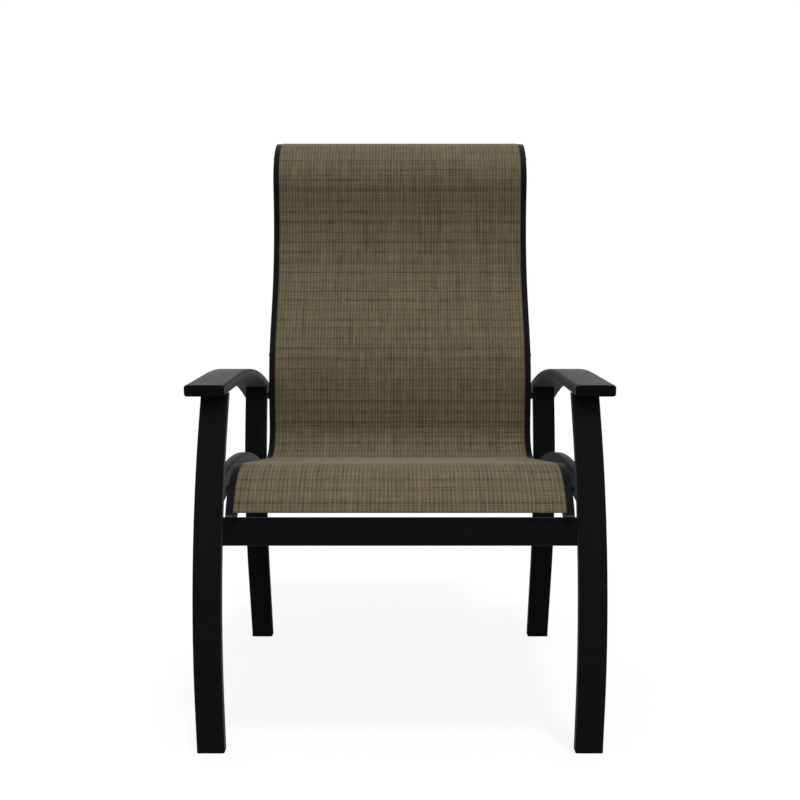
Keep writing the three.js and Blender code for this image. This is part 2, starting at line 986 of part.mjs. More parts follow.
function railBolt( bolt, side ) {

	const profile = screwProfile( boltRadius, boltHeadRadius, boltHeadHeight, boltLength );
	return turned( profile, fastenerSides, side.sign, side.sign * ( railInnerX - joinGap ), bolt.x, bolt.y );

}

function railSpacer( bolt, side ) {

	const length = nutFlangeInnerX - railOuterX - 2 * joinGap;
	const profile = [
		new THREE.Vector2( boltHoleRadius, 0 ),
		new THREE.Vector2( spacerRadius, 0 ),
		new THREE.Vector2( spacerRadius, length ),
		new THREE.Vector2( boltHoleRadius, length ),
		new THREE.Vector2( boltHoleRadius, 0 ),
	];
	return turned( profile, fastenerSides, side.sign, side.sign * ( railOuterX + joinGap ), bolt.x, bolt.y );

}

// A rivet nut grips the tube's wall between its flange and its bulge.
function rivetNut( bolt, side ) {

	const throughWall = nutFlangeThickness + joinGap + legWall + joinGap;
	const end = throughWall + nutBulgeLength;
	const profile = [
		new THREE.Vector2( boltHoleRadius, 0 ),
		new THREE.Vector2( nutFlangeRadius, 0 ),
		new THREE.Vector2( nutFlangeRadius, nutFlangeThickness ),
		new THREE.Vector2( nutBodyRadius, nutFlangeThickness ),
		new THREE.Vector2( nutBodyRadius, throughWall ),
		new THREE.Vector2( nutBulgeRadius, throughWall ),
		new THREE.Vector2( nutBodyRadius, end ),
		new THREE.Vector2( boltHoleRadius, end ),
		new THREE.Vector2( boltHoleRadius, 0 ),
	];
	return turned( profile, fastenerSides, side.sign, side.sign * nutFlangeInnerX, bolt.x, bolt.y );

}

function spreaderScrew( place, side ) {

	const length = joinGap + railWidth + screwGrip;
	const profile = screwProfile( screwRadius, screwHeadRadius, screwHeadHeight, length );
	return turned( profile, screwSides, - side.sign, side.sign * ( railOuterX + joinGap ), place.x, place.y );

}

// Finishes
const powderCoat = { color: 0x131315, roughness: 0.45, metalness: 0.1 };
const clothFinish = { color: 0x69624c, roughness: 0.9, metalness: 0 };
const blackPlastic = { color: 0x101011, roughness: 0.55, metalness: 0 };
const clearPlastic = { color: 0x8c8a80, roughness: 0.5, metalness: 0 };
const blackSteel = { color: 0x1b1b1d, roughness: 0.4, metalness: 0.6 };

function named( name, geometry, finish ) {

	const mesh = new THREE.Mesh( geometry, new THREE.MeshStandardMaterial( finish ) );
	mesh.name = name;
	return mesh;

}

// Assembly
const frame = new THREE.Group();
const sling = new THREE.Group();
const fittings = new THREE.Group();

const rearCrossbarBottom = frontCrossbarBottom - rearCrossbarDrop;
const rearCrossbarY = rearLegPath.crossing( 0, rearCrossbarBottom + crossbarHeight / 2 ).x;
frame.add( named( 'front_crossbar', crossbar( frontCrossbarY, frontCrossbarBottom ), powderCoat ) );
frame.add( named( 'rear_crossbar', crossbar( rearCrossbarY, rearCrossbarBottom ), powderCoat ) );
sling.add( named( 'sling_fabric', slingFabric(), clothFinish ) );

for ( const [ name, station ] of Object.entries( spreaderStations ) ) {

	sling.add( named( `${ name }_spreader`, spreader( station ), powderCoat ) );

}

for ( const side of sides ) {

	frame.add( named( `front_leg_${ side.name }`, frontLeg( side ), powderCoat ) );
	frame.add( named( `rear_leg_${ side.name }`, rearLeg( side ), powderCoat ) );
	frame.add( named( `arm_${ side.name }`, arm( side ), powderCoat ) );
	frame.add( named( `side_stretcher_${ side.name }`, sideStretcher( side ), powderCoat ) );

	sling.add( named( `sling_rail_${ side.name }`, slingRail( side ), powderCoat ) );
	sling.add( named( `sling_spline_${ side.name }`, slingSpline( side ), clearPlastic ) );
	sling.add( named( `rail_foot_pad_${ side.name }`, railFootPad( side ), blackPlastic ) );
	sling.add( named( `rail_top_cap_${ side.name }`, railTopCap( side ), blackPlastic ) );

	fittings.add( named( `arm_front_cap_${ side.name }`, armCap( side, true ), blackPlastic ) );
	fittings.add( named( `arm_rear_cap_${ side.name }`, armCap( side, false ), blackPlastic ) );
	fittings.add( named( `front_foot_glide_${ side.name }`, footGlide( frontLegPath, side ), blackPlastic ) );
	fittings.add( named( `rear_foot_glide_${ side.name }`, footGlide( rearLegPath, side ), blackPlastic ) );

	for ( const [ name, bolt ] of Object.entries( boltPlaces ) ) {

		const spacer = railSpacer( bolt, side );
		fittings.add( named( `${ name }_rail_bolt_${ side.name }`, railBolt( bolt, side ), blackSteel ) );
		fittings.add( named( `${ name }_rail_spacer_${ side.name }`, spacer, blackPlastic ) );
		fittings.add( named( `${ name }_rivet_nut_${ side.name }`, rivetNut( bolt, side ), blackSteel ) );

	}

	for ( const [ name, place ] of Object.entries( screwPlaces ) ) {

		const screw = spreaderScrew( place, side );
		fittings.add( named( `${ name }_spreader_screw_${ side.name }`, screw, blackSteel ) );

	}

}

// The chair stands on z = 0, with its origin under the middle of its bounding box.
const chair = new THREE.Group();
chair.name = 'sling_patio_chair';
chair.add( frame, sling, fittings );
const bounds = new THREE.Box3().setFromObject( chair, true );
const centre = bounds.getCenter( new THREE.Vector3() );
chair.position.set( - centre.x, - centre.y, - bounds.min.z );

export default chair;
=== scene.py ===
"""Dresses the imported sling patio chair: bent tubes, a woven sling, its fittings and a studio."""

import math

import bmesh
import bpy
from mathutils import Matrix, Vector


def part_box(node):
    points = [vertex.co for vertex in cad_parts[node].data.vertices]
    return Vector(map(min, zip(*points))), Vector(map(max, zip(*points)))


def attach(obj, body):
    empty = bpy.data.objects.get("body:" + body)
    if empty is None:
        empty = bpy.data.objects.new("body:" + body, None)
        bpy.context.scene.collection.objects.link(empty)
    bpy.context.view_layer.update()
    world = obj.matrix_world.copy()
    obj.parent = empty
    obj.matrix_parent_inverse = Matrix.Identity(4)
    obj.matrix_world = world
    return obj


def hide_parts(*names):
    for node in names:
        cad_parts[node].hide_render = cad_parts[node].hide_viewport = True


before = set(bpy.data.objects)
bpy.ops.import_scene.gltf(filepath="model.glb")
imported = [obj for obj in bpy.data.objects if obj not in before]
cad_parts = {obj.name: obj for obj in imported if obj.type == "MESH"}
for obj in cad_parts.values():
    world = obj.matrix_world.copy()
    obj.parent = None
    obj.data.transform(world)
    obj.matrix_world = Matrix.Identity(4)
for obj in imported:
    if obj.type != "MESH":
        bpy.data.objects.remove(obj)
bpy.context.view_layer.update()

SIDES = {"left": 1, "right": -1}
ENDS = ("front", "rear")

# The middle of a spreader is found along the rails by how far back it is, or by how high
SPREADERS = {
    "seat": lambda point: point.y,
    "back": lambda point: point.z,
    "top": lambda point: point.z,
}

# Sizes are in metres and angles in degrees. A bend is its radius and the angle that it turns
# through, which is positive where a line bends upwards. A spare length runs past a cut
JOIN_GAP = 0.0003

LEG_INNER_X = 0.2772
LEG_WIDTH = 0.044
LEG_DEPTH = 0.018
LEG_CORNER = 0.0026
LEG_FOOT_SPARE = 0.02
LEG_TOP_SPARE = 0.03
LEG_TOP_STRAIGHT = 0.25
FRONT_LEG_ANGLE = 97.6
FRONT_LEG_SHIN = 0.081
FRONT_LEG_BOW = (0.819, -32.5)
REAR_LEG_ANGLE = 106.7
REAR_LEG_SHIN = 0.1585
REAR_LEG_BOW = (0.692, -27.0)
SOLE_THICKNESS = 0.004
SOLE_EDGE = 0.0025

ARM_WIDTH = 0.0635
ARM_DEPTH = 0.0183
ARM_CORNER = 0.0045
ARM_CAP_THICKNESS = 0.0028
ARM_CAP_EDGE = 0.0014
ARM_FRONT_HEIGHT = 0.5815
ARM_FRONT_ANGLE = 3.7
ARM_STRAIGHT = 0.175
ARM_RADIUS = 1.06

STRETCHER_WIDTH = 0.015
STRETCHER_DEPTH = 0.039
STRETCHER_CORNER = 0.002
STRETCHER_OVER_BOLT = 0.0218
STRETCHER_FRONT_ANGLE = 10.7
STRETCHER_RADIUS = 0.824
STRETCHER_FRONT_MEET = 0.02
STRETCHER_REAR_SPARE = 0.009
CROSSBAR_DEPTH = 0.0127
CROSSBAR_CORNER = 0.003

RAIL_GAP = 0.0059
RAIL_OUTER_X = LEG_INNER_X - RAIL_GAP
RAIL_WIDTH = 0.016
RAIL_DEPTH = 0.0254
RAIL_CORNER = 0.0022
RAIL_LIP = 0.0012
RAIL_WALL = 0.0016
GROOVE_RADIUS = 0.0035
GROOVE_INSET = 0.0048
GROOVE_ROUNDING = 0.8
SLOT_WIDTH = 0.0016
SLOT_INSET = 0.0023
RAIL_CUT_RISE = 0.0185
RAIL_FOOT_ANGLE = 70.5
RAIL_FOOT = 0.0196
RAIL_KNEE_BEND = (0.1074, -77.0)
RAIL_SEAT = 0.348
RAIL_CREASE_BEND = (0.056, 98.3)
RAIL_LOWER_BACK = 0.0676
RAIL_WAIST_BEND = (0.2576, -27.7)
RAIL_MIDDLE_BACK = 0.0862
RAIL_SHOULDER_BEND = (0.408, 33.9)
RAIL_CREST_BEND = (0.097, -96.8)
RAIL_TIP = 0.010
RAIL_CAP_THICKNESS = 0.002
RAIL_CAP_EDGE = 0.0009
RAIL_PAD_REACH = 0.05

SPLINE_RADIUS = 0.0021
CLOTH_THICKNESS = 0.0008
CLOTH_TURN = 0.0009
SLING_FRONT_TRIM = 0.0295
SLING_TOP_TRIM = 0.005
SPREADER_HEIGHT = 0.025
SPREADER_DEPTH = 0.0115
SPREADER_CORNER = 0.003
SPREADER_SETBACK = 0.0076

BOLT_RADIUS = 0.003
BOLT_HEAD_RADIUS = 0.0052
BOLT_HEAD_HEIGHT = 0.0032
SCREW_RADIUS = 0.002
SCREW_HEAD_RADIUS = 0.004
SCREW_HEAD_HEIGHT = 0.0022
SPACER_RADIUS = 0.005
SPACER_EDGE = 0.0006
SPACER_EDGE_EASE = 0.3

# A button head, in shares of its height, measured inwards, and of its radius
HEAD_OUTLINE = [(0.13, 0.68), (0.38, 0.9), (0.72, 1), (1, 0.97)]
SOCKET_RADIUS_SHARE = 0.34
SOCKET_DEPTH_SHARE = 0.6
SOCKET_RIM_DEPTH = 0.00005
SOCKET_RIM_FLARE = 1.12

# How finely the round shapes are made
CORNER_SEGMENTS = 5
END_SEGMENTS = 4
RING_SEGMENTS = 36
LIP_STEPS = 6
HALF_SLING_STEPS = 12
BEND_STEP = 2.5
SEARCH_STEPS = 400
SEARCH_HALVINGS = 30
SAME_PLACE = 1e-6
SHARP_ANGLE = 40

UP = (0, 0, 1)
DOWN = (0, 0, -1)


class BentPath:
    """A line in the chair's side plane, made of straights and round bends.

    It is measured along its length. A part is a straight's length or a bend."""

    def __init__(self, y, z, angle, *parts):
        self.parts = []
        along = 0.0
        angle = math.radians(angle)
        for part in parts:
            if isinstance(part, tuple):
                radius, turn = part[0], math.radians(part[1])
                length = radius * abs(turn)
            else:
                length, turn = part, 0.0
            self.parts.append((along, length, y, z, angle, turn))
            along += length
            y, z, angle = self._end(self.parts[-1], length)
        self.length = along

    @staticmethod
    def _end(part, distance):
        """The place and direction at a distance into a part."""
        along, length, y, z, angle, turn = part
        if turn == 0:
            return y + distance * math.cos(angle), z + distance * math.sin(angle), angle
        bow = length / turn
        turned = angle + turn * distance / length
        end_y = y + bow * (math.sin(turned) - math.sin(angle))
        end_z = z - bow * (math.cos(turned) - math.cos(angle))
        return end_y, end_z, turned

    def at(self, along):
        """The place and direction at a length along the line. Past its ends it runs on straight."""
        if along < 0:
            y, z, angle = self._end(self.parts[0], 0)
            return y + along * math.cos(angle), z + along * math.sin(angle), angle
        part = [p for p in self.parts if p[0] <= along][-1]
        inside = min(along - part[0], part[1])
        y, z, angle = self._end(part, inside)
        past = along - part[0] - inside
        return y + past * math.cos(angle), z + past * math.sin(angle), angle

    def place(self, along, depth=0.0):
        """The point a depth behind the line's front face."""
        y, z, angle = self.at(along)
        return Vector((0, y + depth * math.sin(angle), z - depth * math.cos(angle)))

    def out(self, along):
        """The direction out of the front face."""
        angle = self.at(along)[2]
        return Vector((0, -math.sin(angle), math.cos(angle)))

    def find(self, measure):
        """The first length at which a measure of the length rises past zero."""
        step = self.length / SEARCH_STEPS
        along = 0.0
        while measure(along + step) < 0 and along < self.length:
            along += step
        low, high = along, along + step
        for _ in range(SEARCH_HALVINGS):
            middle = (low + high) / 2
            low, high = (middle, high) if measure(middle) < 0 else (low, middle)
        return low

    def at_height(self, depth, height):
        """The point at a height, on the face a depth behind the front face."""
        return self.place(self.find(lambda along: self.place(along, depth).z - height), depth)

    def stations(self, start, end):
        """Where a bar needs an edge round it: the ends of its parts, and steps in its bends."""
        found = [start, end]
        for along, length, _, _, _, turn in self.parts:
            steps = max(1, math.ceil(math.degrees(abs(turn)) / BEND_STEP))
            found += [along + length * i / steps for i in range(steps + 1)]
        return sorted(at for at in set(found) if start <= at <= end)

    def moved(self, back):
        """The same line further back."""
        other = BentPath(0, 0, 0)
        other.parts = [
            (along, length, y + back, z, angle, turn)
            for along, length, y, z, angle, turn in self.parts
        ]
        other.length = self.length
        return other


# The lines that the bars follow, each set to its node in the frame
def box_low(node):
    return Vector(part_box(node)[0])


def box_high(node):
    return Vector(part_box(node)[1])


def leg_path(end, angle, shin, bow):
    outline = BentPath(0, 0, angle, shin, bow, LEG_TOP_STRAIGHT)
    heel = box_high(f"{end}_foot_glide_left").y
    return outline.moved(heel - outline.at_height(LEG_DEPTH, SOLE_THICKNESS).y)


def arch(y, angle, radius, end_y):
    """A bend downwards from y to end_y, for a line that starts at that angle."""
    end_sine = math.sin(math.radians(angle)) - (end_y - y) / radius
    return radius, math.degrees(math.asin(end_sine)) - angle


front_leg_path = leg_path("front", FRONT_LEG_ANGLE, FRONT_LEG_SHIN, FRONT_LEG_BOW)
rear_leg_path = leg_path("rear", REAR_LEG_ANGLE, REAR_LEG_SHIN, REAR_LEG_BOW)

arm_start_y = box_low("arm_left").y
arm_bend_y = arm_start_y + ARM_STRAIGHT * math.cos(math.radians(ARM_FRONT_ANGLE))
arm_end_y = box_high("arm_left").y
arm_path = BentPath(
    arm_start_y, ARM_FRONT_HEIGHT, ARM_FRONT_ANGLE,
    ARM_STRAIGHT, arch(arm_bend_y, ARM_FRONT_ANGLE, ARM_RADIUS, arm_end_y),
)

front_bolt = (box_low("front_rail_bolt_left") + box_high("front_rail_bolt_left")) / 2
stretcher_top = front_bolt.z + STRETCHER_OVER_BOLT
stretcher_start_y = front_leg_path.at_height(0, stretcher_top).y
stretcher_end_y = box_high("side_stretcher_left").y + STRETCHER_REAR_SPARE
stretcher_path = BentPath(
    stretcher_start_y, stretcher_top, STRETCHER_FRONT_ANGLE,
    arch(stretcher_start_y, STRETCHER_FRONT_ANGLE, STRETCHER_RADIUS, stretcher_end_y),
)

rail_foot = box_low("sling_rail_left")
rail_outline = BentPath(
    0, box_high("front_crossbar").z - RAIL_CUT_RISE, RAIL_FOOT_ANGLE,
    RAIL_FOOT, RAIL_KNEE_BEND, RAIL_SEAT, RAIL_CREASE_BEND, RAIL_LOWER_BACK,
    RAIL_WAIST_BEND, RAIL_MIDDLE_BACK, RAIL_SHOULDER_BEND, RAIL_CREST_BEND, RAIL_TIP,
)
rail_path = rail_outline.moved(rail_foot.y - rail_outline.at_height(0, rail_foot.z).y)


# Making and shaping bars
def section_face(bm, corners):
    """A face in the XZ plane from (x, z, radius) corners, each rounded to its radius."""
    points = [bm.verts.new((x, 0, z)) for x, z, radius in corners]
    bm.faces.new(points)
    for wanted in {radius for x, z, radius in corners if radius > 0}:
        rounded = [point for point, (x, z, radius) in zip(points, corners) if radius == wanted]
        bmesh.ops.bevel(
            bm, geom=rounded, offset=wanted, affect="VERTICES",
            segments=CORNER_SEGMENTS, profile=0.5, material=-1,
        )


def of_kind(geometry, kind):
    return [part for part in geometry if isinstance(part, kind)]


def bar(corners, stations):
    """A straight bar along +Y with that section, and an edge round it at each station."""
    bm = bmesh.new()
    section_face(bm, corners)
    bmesh.ops.translate(bm, verts=bm.verts, vec=(0, stations[0], 0))
    end = bm.faces[:]
    for before, after in zip(stations, stations[1:]):
        made = bmesh.ops.extrude_face_region(bm, geom=end)["geom"]
        end = of_kind(made, bmesh.types.BMFace)
        moved = of_kind(made, bmesh.types.BMVert)
        bmesh.ops.translate(bm, verts=moved, vec=(0, after - before, 0))
    return bm


def bend(bm, path):
    """Bends a straight bar: y becomes the length along the path, and z the height over its face."""
    for vert in bm.verts:
        place = path.place(vert.co.y, -vert.co.z)
        vert.co = (vert.co.x, place.y, place.z)


def cut(bm, point, away):
    """Cuts off what lies beyond a plane, and closes the cut."""
    everything = bm.verts[:] + bm.edges[:] + bm.faces[:]
    made = bmesh.ops.bisect_plane(
        bm, geom=everything, plane_co=point, plane_no=away, clear_outer=True
    )
    bmesh.ops.holes_fill(bm, edges=of_kind(made["geom_cut"], bmesh.types.BMEdge))


def round_end(bm, y, radius):
    """Rounds the edges round a straight bar's end at y."""
    rim = [
        edge for edge in bm.edges
        if all(abs(vert.co.y - y) < SAME_PLACE for vert in edge.verts)
    ]
    bmesh.ops.bevel(
        bm, geom=rim, offset=radius, affect="EDGES",
        segments=END_SEGMENTS, profile=0.5, clamp_overlap=True, material=-1,
    )


def rectangle(middle_x, width, depth, radius):
    """The corners of a bar's section, with its front face on z = 0."""
    half = width / 2
    return [
        (middle_x - half, -depth, radius),
        (middle_x + half, -depth, radius),
        (middle_x + half, 0, radius),
        (middle_x - half, 0, radius),
    ]


def add_piece(name, bm, material, node):
    """Makes a finished piece of the chair, in place of the node that it stands for."""
    bmesh.ops.recalc_face_normals(bm, faces=bm.faces)
    mesh = bpy.data.meshes.new(name)
    bm.to_mesh(mesh)
    bm.free()
    mesh.shade_smooth()
    mesh.set_sharp_from_angle(angle=math.radians(SHARP_ANGLE))
    mesh.materials.append(material)
    piece = bpy.data.objects.new(name, mesh)
    bpy.context.collection.objects.link(piece)
    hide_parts(node)
    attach(piece, "root")
    return piece


# Finishes
COAT_GRAINS = 900
COAT_GRAIN_DEPTH = 0.0001
DUST_DULLING = 0.08


def new_material(name):
    material = bpy.data.materials.new(name)
    material.use_nodes = True
    return material, material.node_tree.nodes, material.node_tree.links


def set_sockets(node, values):
    for name, value in values.items():
        node.inputs[name].default_value = value


def math_node(nodes, links, operation, *values):
    node = nodes.new("ShaderNodeMath")
    node.operation = operation
    for socket, value in zip(node.inputs, values):
        if isinstance(value, (int, float)):
            socket.default_value = value
        else:
            links.new(value, socket)
    return node.outputs[0]


def surface_grain():
    """Fine unevenness of a coated or moulded surface: its bump, and where it is a little duller."""
    group = bpy.data.node_groups.new("surface_grain", "ShaderNodeTree")
    for name, usual in (("Grains per Metre", COAT_GRAINS), ("Depth", COAT_GRAIN_DEPTH)):
        socket = group.interface.new_socket(name, in_out="INPUT", socket_type="NodeSocketFloat")
        socket.default_value = usual
    for name, kind in (("Roughness", "Float"), ("Dust", "Float"), ("Normal", "Vector")):
        group.interface.new_socket(name, in_out="OUTPUT", socket_type=f"NodeSocket{kind}")
    nodes, links = group.nodes, group.links
    given = nodes.new("NodeGroupInput")
    made = nodes.new("NodeGroupOutput")
    place = nodes.new("ShaderNodeTexCoord")
    peel = nodes.new("ShaderNodeTexNoise")
    set_sockets(peel, {"Detail": 2})
    links.new(place.outputs["Object"], peel.inputs["Vector"])
    links.new(given.outputs["Grains per Metre"], peel.inputs["Scale"])
    bump = nodes.new("ShaderNodeBump")
    set_sockets(bump, {"Strength": 0.2})
    links.new(given.outputs["Depth"], bump.inputs["Distance"])
    links.new(peel.outputs["Fac"], bump.inputs["Height"])
    links.new(bump.outputs["Normal"], made.inputs["Normal"])
    cloud = nodes.new("ShaderNodeTexNoise")
    set_sockets(cloud, {"Scale": 14, "Detail": 5})
    links.new(place.outputs["Object"], cloud.inputs["Vector"])
    links.new(cloud.outputs["Fac"], made.inputs["Dust"])
    dull = nodes.new("ShaderNodeMapRange")
    set_sockets(dull, {"To Min": -DUST_DULLING, "To Max": DUST_DULLING})
    links.new(cloud.outputs["Fac"], dull.inputs["Value"])
    links.new(dull.outputs["Result"], made.inputs["Roughness"])
    return group


def grained_material(name, colour, dusty, roughness, grains, grain_depth):
    """A material whose gloss and surface vary a little, and whose colour goes to a dusty one."""
    material, nodes, links = new_material(name)
    shader = nodes["Principled BSDF"]
    grain = nodes.new("ShaderNodeGroup")
    grain.node_tree = grain_effect
    set_sockets(grain, {"Grains per Metre": grains, "Depth": grain_depth})
    tint = nodes.new("ShaderNodeMix")
    tint.data_type = "RGBA"
    set_sockets(tint, {"A": (*colour, 1), "B": (*dusty, 1)})
    links.new(grain.outputs["Dust"], tint.inputs["Factor"])
    links.new(tint.outputs["Result"], shader.inputs["Base Color"])
    gloss = math_node(nodes, links, "ADD", grain.outputs["Roughness"], roughness)
    links.new(gloss, shader.inputs["Roughness"])
    links.new(grain.outputs["Normal"], shader.inputs["Normal"])
    return material, shader


def powder_coat():
    """Satin black powder coat, which pales where it is seen along its surface."""
    material, shader = grained_material(
        "satin_black_powder_coat",
        colour=(0.0042, 0.0042, 0.0050),
        dusty=(0.0062, 0.0062, 0.0072),
        roughness=0.5,
        grains=COAT_GRAINS,
        grain_depth=COAT_GRAIN_DEPTH,
    )
    set_sockets(shader, {
        "Specular IOR Level": 0.026,
        "Sheen Weight": 0.155,
        "Sheen Roughness": 0.4,
        "Sheen Tint": (1, 1, 1, 1),
    })
    return material


def black_plastic():
    """Moulded plastic of the caps, glides, pads and spacers."""
    material, shader = grained_material(
        "black_moulded_plastic",
        colour=(0.0022, 0.0022, 0.0027),
        dusty=(0.0034, 0.0034, 0.0039),
        roughness=0.55,
        grains=2500,
        grain_depth=0.0001,
    )
    set_sockets(shader, {"Specular IOR Level": 0.05})
    return material


def spline_plastic():
    """Plastic of the rods in the sling's hems."""
    material, shader = grained_material(
        "cream_spline_plastic",
        colour=(0.33, 0.31, 0.26),
        dusty=(0.39, 0.36, 0.30),
        roughness=0.5,
        grains=1500,
        grain_depth=0.00005,
    )
    set_sockets(shader, {"Specular IOR Level": 0.4})
    return material


def black_steel():
    """Black plated steel of the bolts, screws and rivet nuts."""
    material, shader = grained_material(
        "black_plated_steel",
        colour=(0.020, 0.020, 0.022),
        dusty=(0.034, 0.033, 0.034),
        roughness=0.36,
        grains=1800,
        grain_depth=0.00003,
    )
    set_sockets(shader, {"Metallic": 0.8})
    return material


# The sling's yarns: how far apart they are, and over what length a yarn's tone changes.
# YARN_SPREAD sets neighbouring yarns apart in the noise that their tones come from
WARP_PITCH = 0.0022
WEFT_PITCH = 0.0022
WARP_TONE_LENGTH = 0.06
WEFT_TONE_LENGTH = 0.08
YARN_SPREAD = 7.31

# Where the weft is on top and where the warp is: the warp's share in the tone of the crossing,
# and how light the crossing is
WARP_SHARE = (0.3, 0.7)
CROSSING_LIGHT = (0.4, 1.6)
TONE_RANGE = 1.3
TONE_BASE = 0.16

# Slow streaks along the sling, and patches of another hue
STREAK_WIDTH = 0.012
STREAK_LENGTH = 0.4
STREAK_RANGE = 0.38
PATCH_WIDTH = 0.013
PATCH_LENGTH = 0.019
CLOTH_COLOURS = [
    (0.34, (0.093, 0.089, 0.050)),
    (0.45, (0.101, 0.088, 0.051)),
    (0.51, (0.104, 0.088, 0.052)),
    (0.58, (0.112, 0.085, 0.053)),
    (0.68, (0.115, 0.092, 0.048)),
]

# A few warps in each repeat are pale, and a few wefts are dark. So are stray wefts, and a dark
# weft fades where it is thin
PALE_WARPS = 1
PALE_WARP_REPEAT = 3
PALE_WARP_LIFT = 0.4
DARK_WEFTS = 2
DARK_WEFT_REPEAT = 10
DARK_WEFT_DROP = -0.21
STRAY_WEFT_SHARE = 0.16
STRAY_WEFT_DROP = -0.2
SLUB_LENGTH = 0.03
SLUB_LEVEL = 0.43
SLUB_FADE = 0.7

# Between the yarns, and on their backs
YARN_ROUGHNESS = (0.9, 0.75)


class ClothNodes:
    """The woven pattern's nodes. X of the flat map runs across the sling and Y along it."""

    def __init__(self, nodes, links):
        self.nodes = nodes
        self.links = links
        flat = nodes.new("ShaderNodeUVMap")
        flat.uv_map = "flat"
        split = nodes.new("ShaderNodeSeparateXYZ")
        links.new(flat.outputs["UV"], split.inputs["Vector"])
        self.x = split.outputs["X"]
        self.y = split.outputs["Y"]

    def math(self, operation, *values):
        return math_node(self.nodes, self.links, operation, *values)

    def times(self, value, factor):
        return self.math("MULTIPLY", value, factor)

    def plus(self, value, other):
        return self.math("ADD", value, other)

    def divided(self, value, divisor):
        return self.math("DIVIDE", value, divisor)

    def mix(self, factor, low, high):
        return self.plus(low, self.times(self.math("SUBTRACT", high, low), factor))

    def noise(self, x, y, detail):
        """Smooth noise at a place given by two values."""
        vector = self.nodes.new("ShaderNodeCombineXYZ")
        self.links.new(x, vector.inputs["X"])
        self.links.new(y, vector.inputs["Y"])
        noise = self.nodes.new("ShaderNodeTexNoise")
        noise.noise_dimensions = "2D"
        set_sockets(noise, {"Scale": 1, "Detail": detail})
        self.links.new(vector.outputs["Vector"], noise.inputs["Vector"])
        return noise.outputs["Fac"]

    def patches(self, width, length):
        """Slow noise over the sling, in patches of about that size."""
        return self.noise(self.divided(self.x, width), self.divided(self.y, length), 2)

    def yarn_tone(self, number, way, length):
        """Each yarn has a tone of its own, which changes slowly along it."""
        return self.noise(self.times(number, YARN_SPREAD), self.divided(way, length), 1)

    def chance(self, number, share):
        """One for a share of the yarns, picked at random, and zero for the rest."""
        pick = self.nodes.new("ShaderNodeTexWhiteNoise")
        pick.noise_dimensions = "1D"
        self.links.new(number, pick.inputs["W"])
        return self.math("LESS_THAN", pick.outputs["Value"], share)

    def first(self, number, few, count):
        """One for the first few in every count of yarns, and zero for the rest."""
        return self.math("LESS_THAN", self.math("FLOORED_MODULO", number, count), few - 0.5)

    def hump(self, way):
        """The round back of a yarn, from its middle down to its edges."""
        return self.math("SINE", self.times(self.math("FRACT", way), math.pi))

    def colour(self, shade):
        """The cloth's colour, from its patches of hue, at a shade."""
        hue = self.nodes.new("ShaderNodeValToRGB")
        elements = hue.color_ramp.elements
        for element, (at, colour) in zip(elements, (CLOTH_COLOURS[0], CLOTH_COLOURS[-1])):
            element.position = at
            element.color = (*colour, 1)
        for at, colour in CLOTH_COLOURS[1:-1]:
            elements.new(at).color = (*colour, 1)
        self.links.new(self.patches(PATCH_WIDTH, PATCH_LENGTH), hue.inputs["Fac"])
        shaded = self.nodes.new("ShaderNodeVectorMath")
        shaded.operation = "SCALE"
        self.links.new(hue.outputs["Color"], shaded.inputs["Vector"])
        self.links.new(shade, shaded.inputs["Scale"])
        return shaded.outputs["Vector"]


def sling_cloth():
    """Woven tweed of coated yarns."""
    material, nodes, links = new_material("olive_tweed_cloth")
    shader = nodes["Principled BSDF"]
    set_sockets(shader, {
        "Specular IOR Level": 0.1,
        "Sheen Weight": 0.27,
        "Sheen Roughness": 0.3,
        "Sheen Tint": (1, 0.92, 0.78, 1),
    })
    cloth = ClothNodes(nodes, links)
    across = cloth.divided(cloth.x, WARP_PITCH)
    along = cloth.divided(cloth.y, WEFT_PITCH)
    warp = cloth.math("FLOOR", across)
    weft = cloth.math("FLOOR", along)
    warp_is_over = cloth.math("ABSOLUTE", cloth.math("MODULO", cloth.plus(warp, weft), 2))

    warp_tone = cloth.yarn_tone(warp, cloth.y, WARP_TONE_LENGTH)
    weft_tone = cloth.yarn_tone(weft, cloth.x, WEFT_TONE_LENGTH)
    tone = cloth.mix(cloth.mix(warp_is_over, *WARP_SHARE), weft_tone, warp_tone)
    streaks = cloth.times(cloth.patches(STREAK_WIDTH, STREAK_LENGTH), STREAK_RANGE)
    uneven = cloth.plus(cloth.plus(cloth.times(tone, TONE_RANGE), streaks), TONE_BASE)
    plain = cloth.times(uneven, cloth.mix(warp_is_over, *CROSSING_LIGHT))

    pale = cloth.times(cloth.first(warp, PALE_WARPS, PALE_WARP_REPEAT), PALE_WARP_LIFT)
    line = cloth.times(cloth.first(weft, DARK_WEFTS, DARK_WEFT_REPEAT), DARK_WEFT_DROP)
    stray = cloth.times(cloth.chance(weft, STRAY_WEFT_SHARE), STRAY_WEFT_DROP)
    slub_tone = cloth.yarn_tone(weft, cloth.x, SLUB_LENGTH)
    slub = cloth.mix(cloth.math("GREATER_THAN", slub_tone, SLUB_LEVEL), SLUB_FADE, 1)
    dark = cloth.times(cloth.plus(line, stray), slub)
    shade = cloth.plus(cloth.plus(plain, pale), dark)
    links.new(cloth.colour(shade), shader.inputs["Base Color"])

    round_yarns = cloth.mix(warp_is_over, cloth.hump(along), cloth.hump(across))
    bump = nodes.new("ShaderNodeBump")
    set_sockets(bump, {"Strength": 0.5, "Distance": 0.0002})
    links.new(round_yarns, bump.inputs["Height"])
    links.new(bump.outputs["Normal"], shader.inputs["Normal"])
    links.new(cloth.mix(round_yarns, *YARN_ROUGHNESS), shader.inputs["Roughness"])
    return material


grain_effect = surface_grain()
frame_finish = powder_coat()
cap_finish = black_plastic()
spline_finish = spline_plastic()
fastener_finish = black_steel()
cloth_finish = sling_cloth()


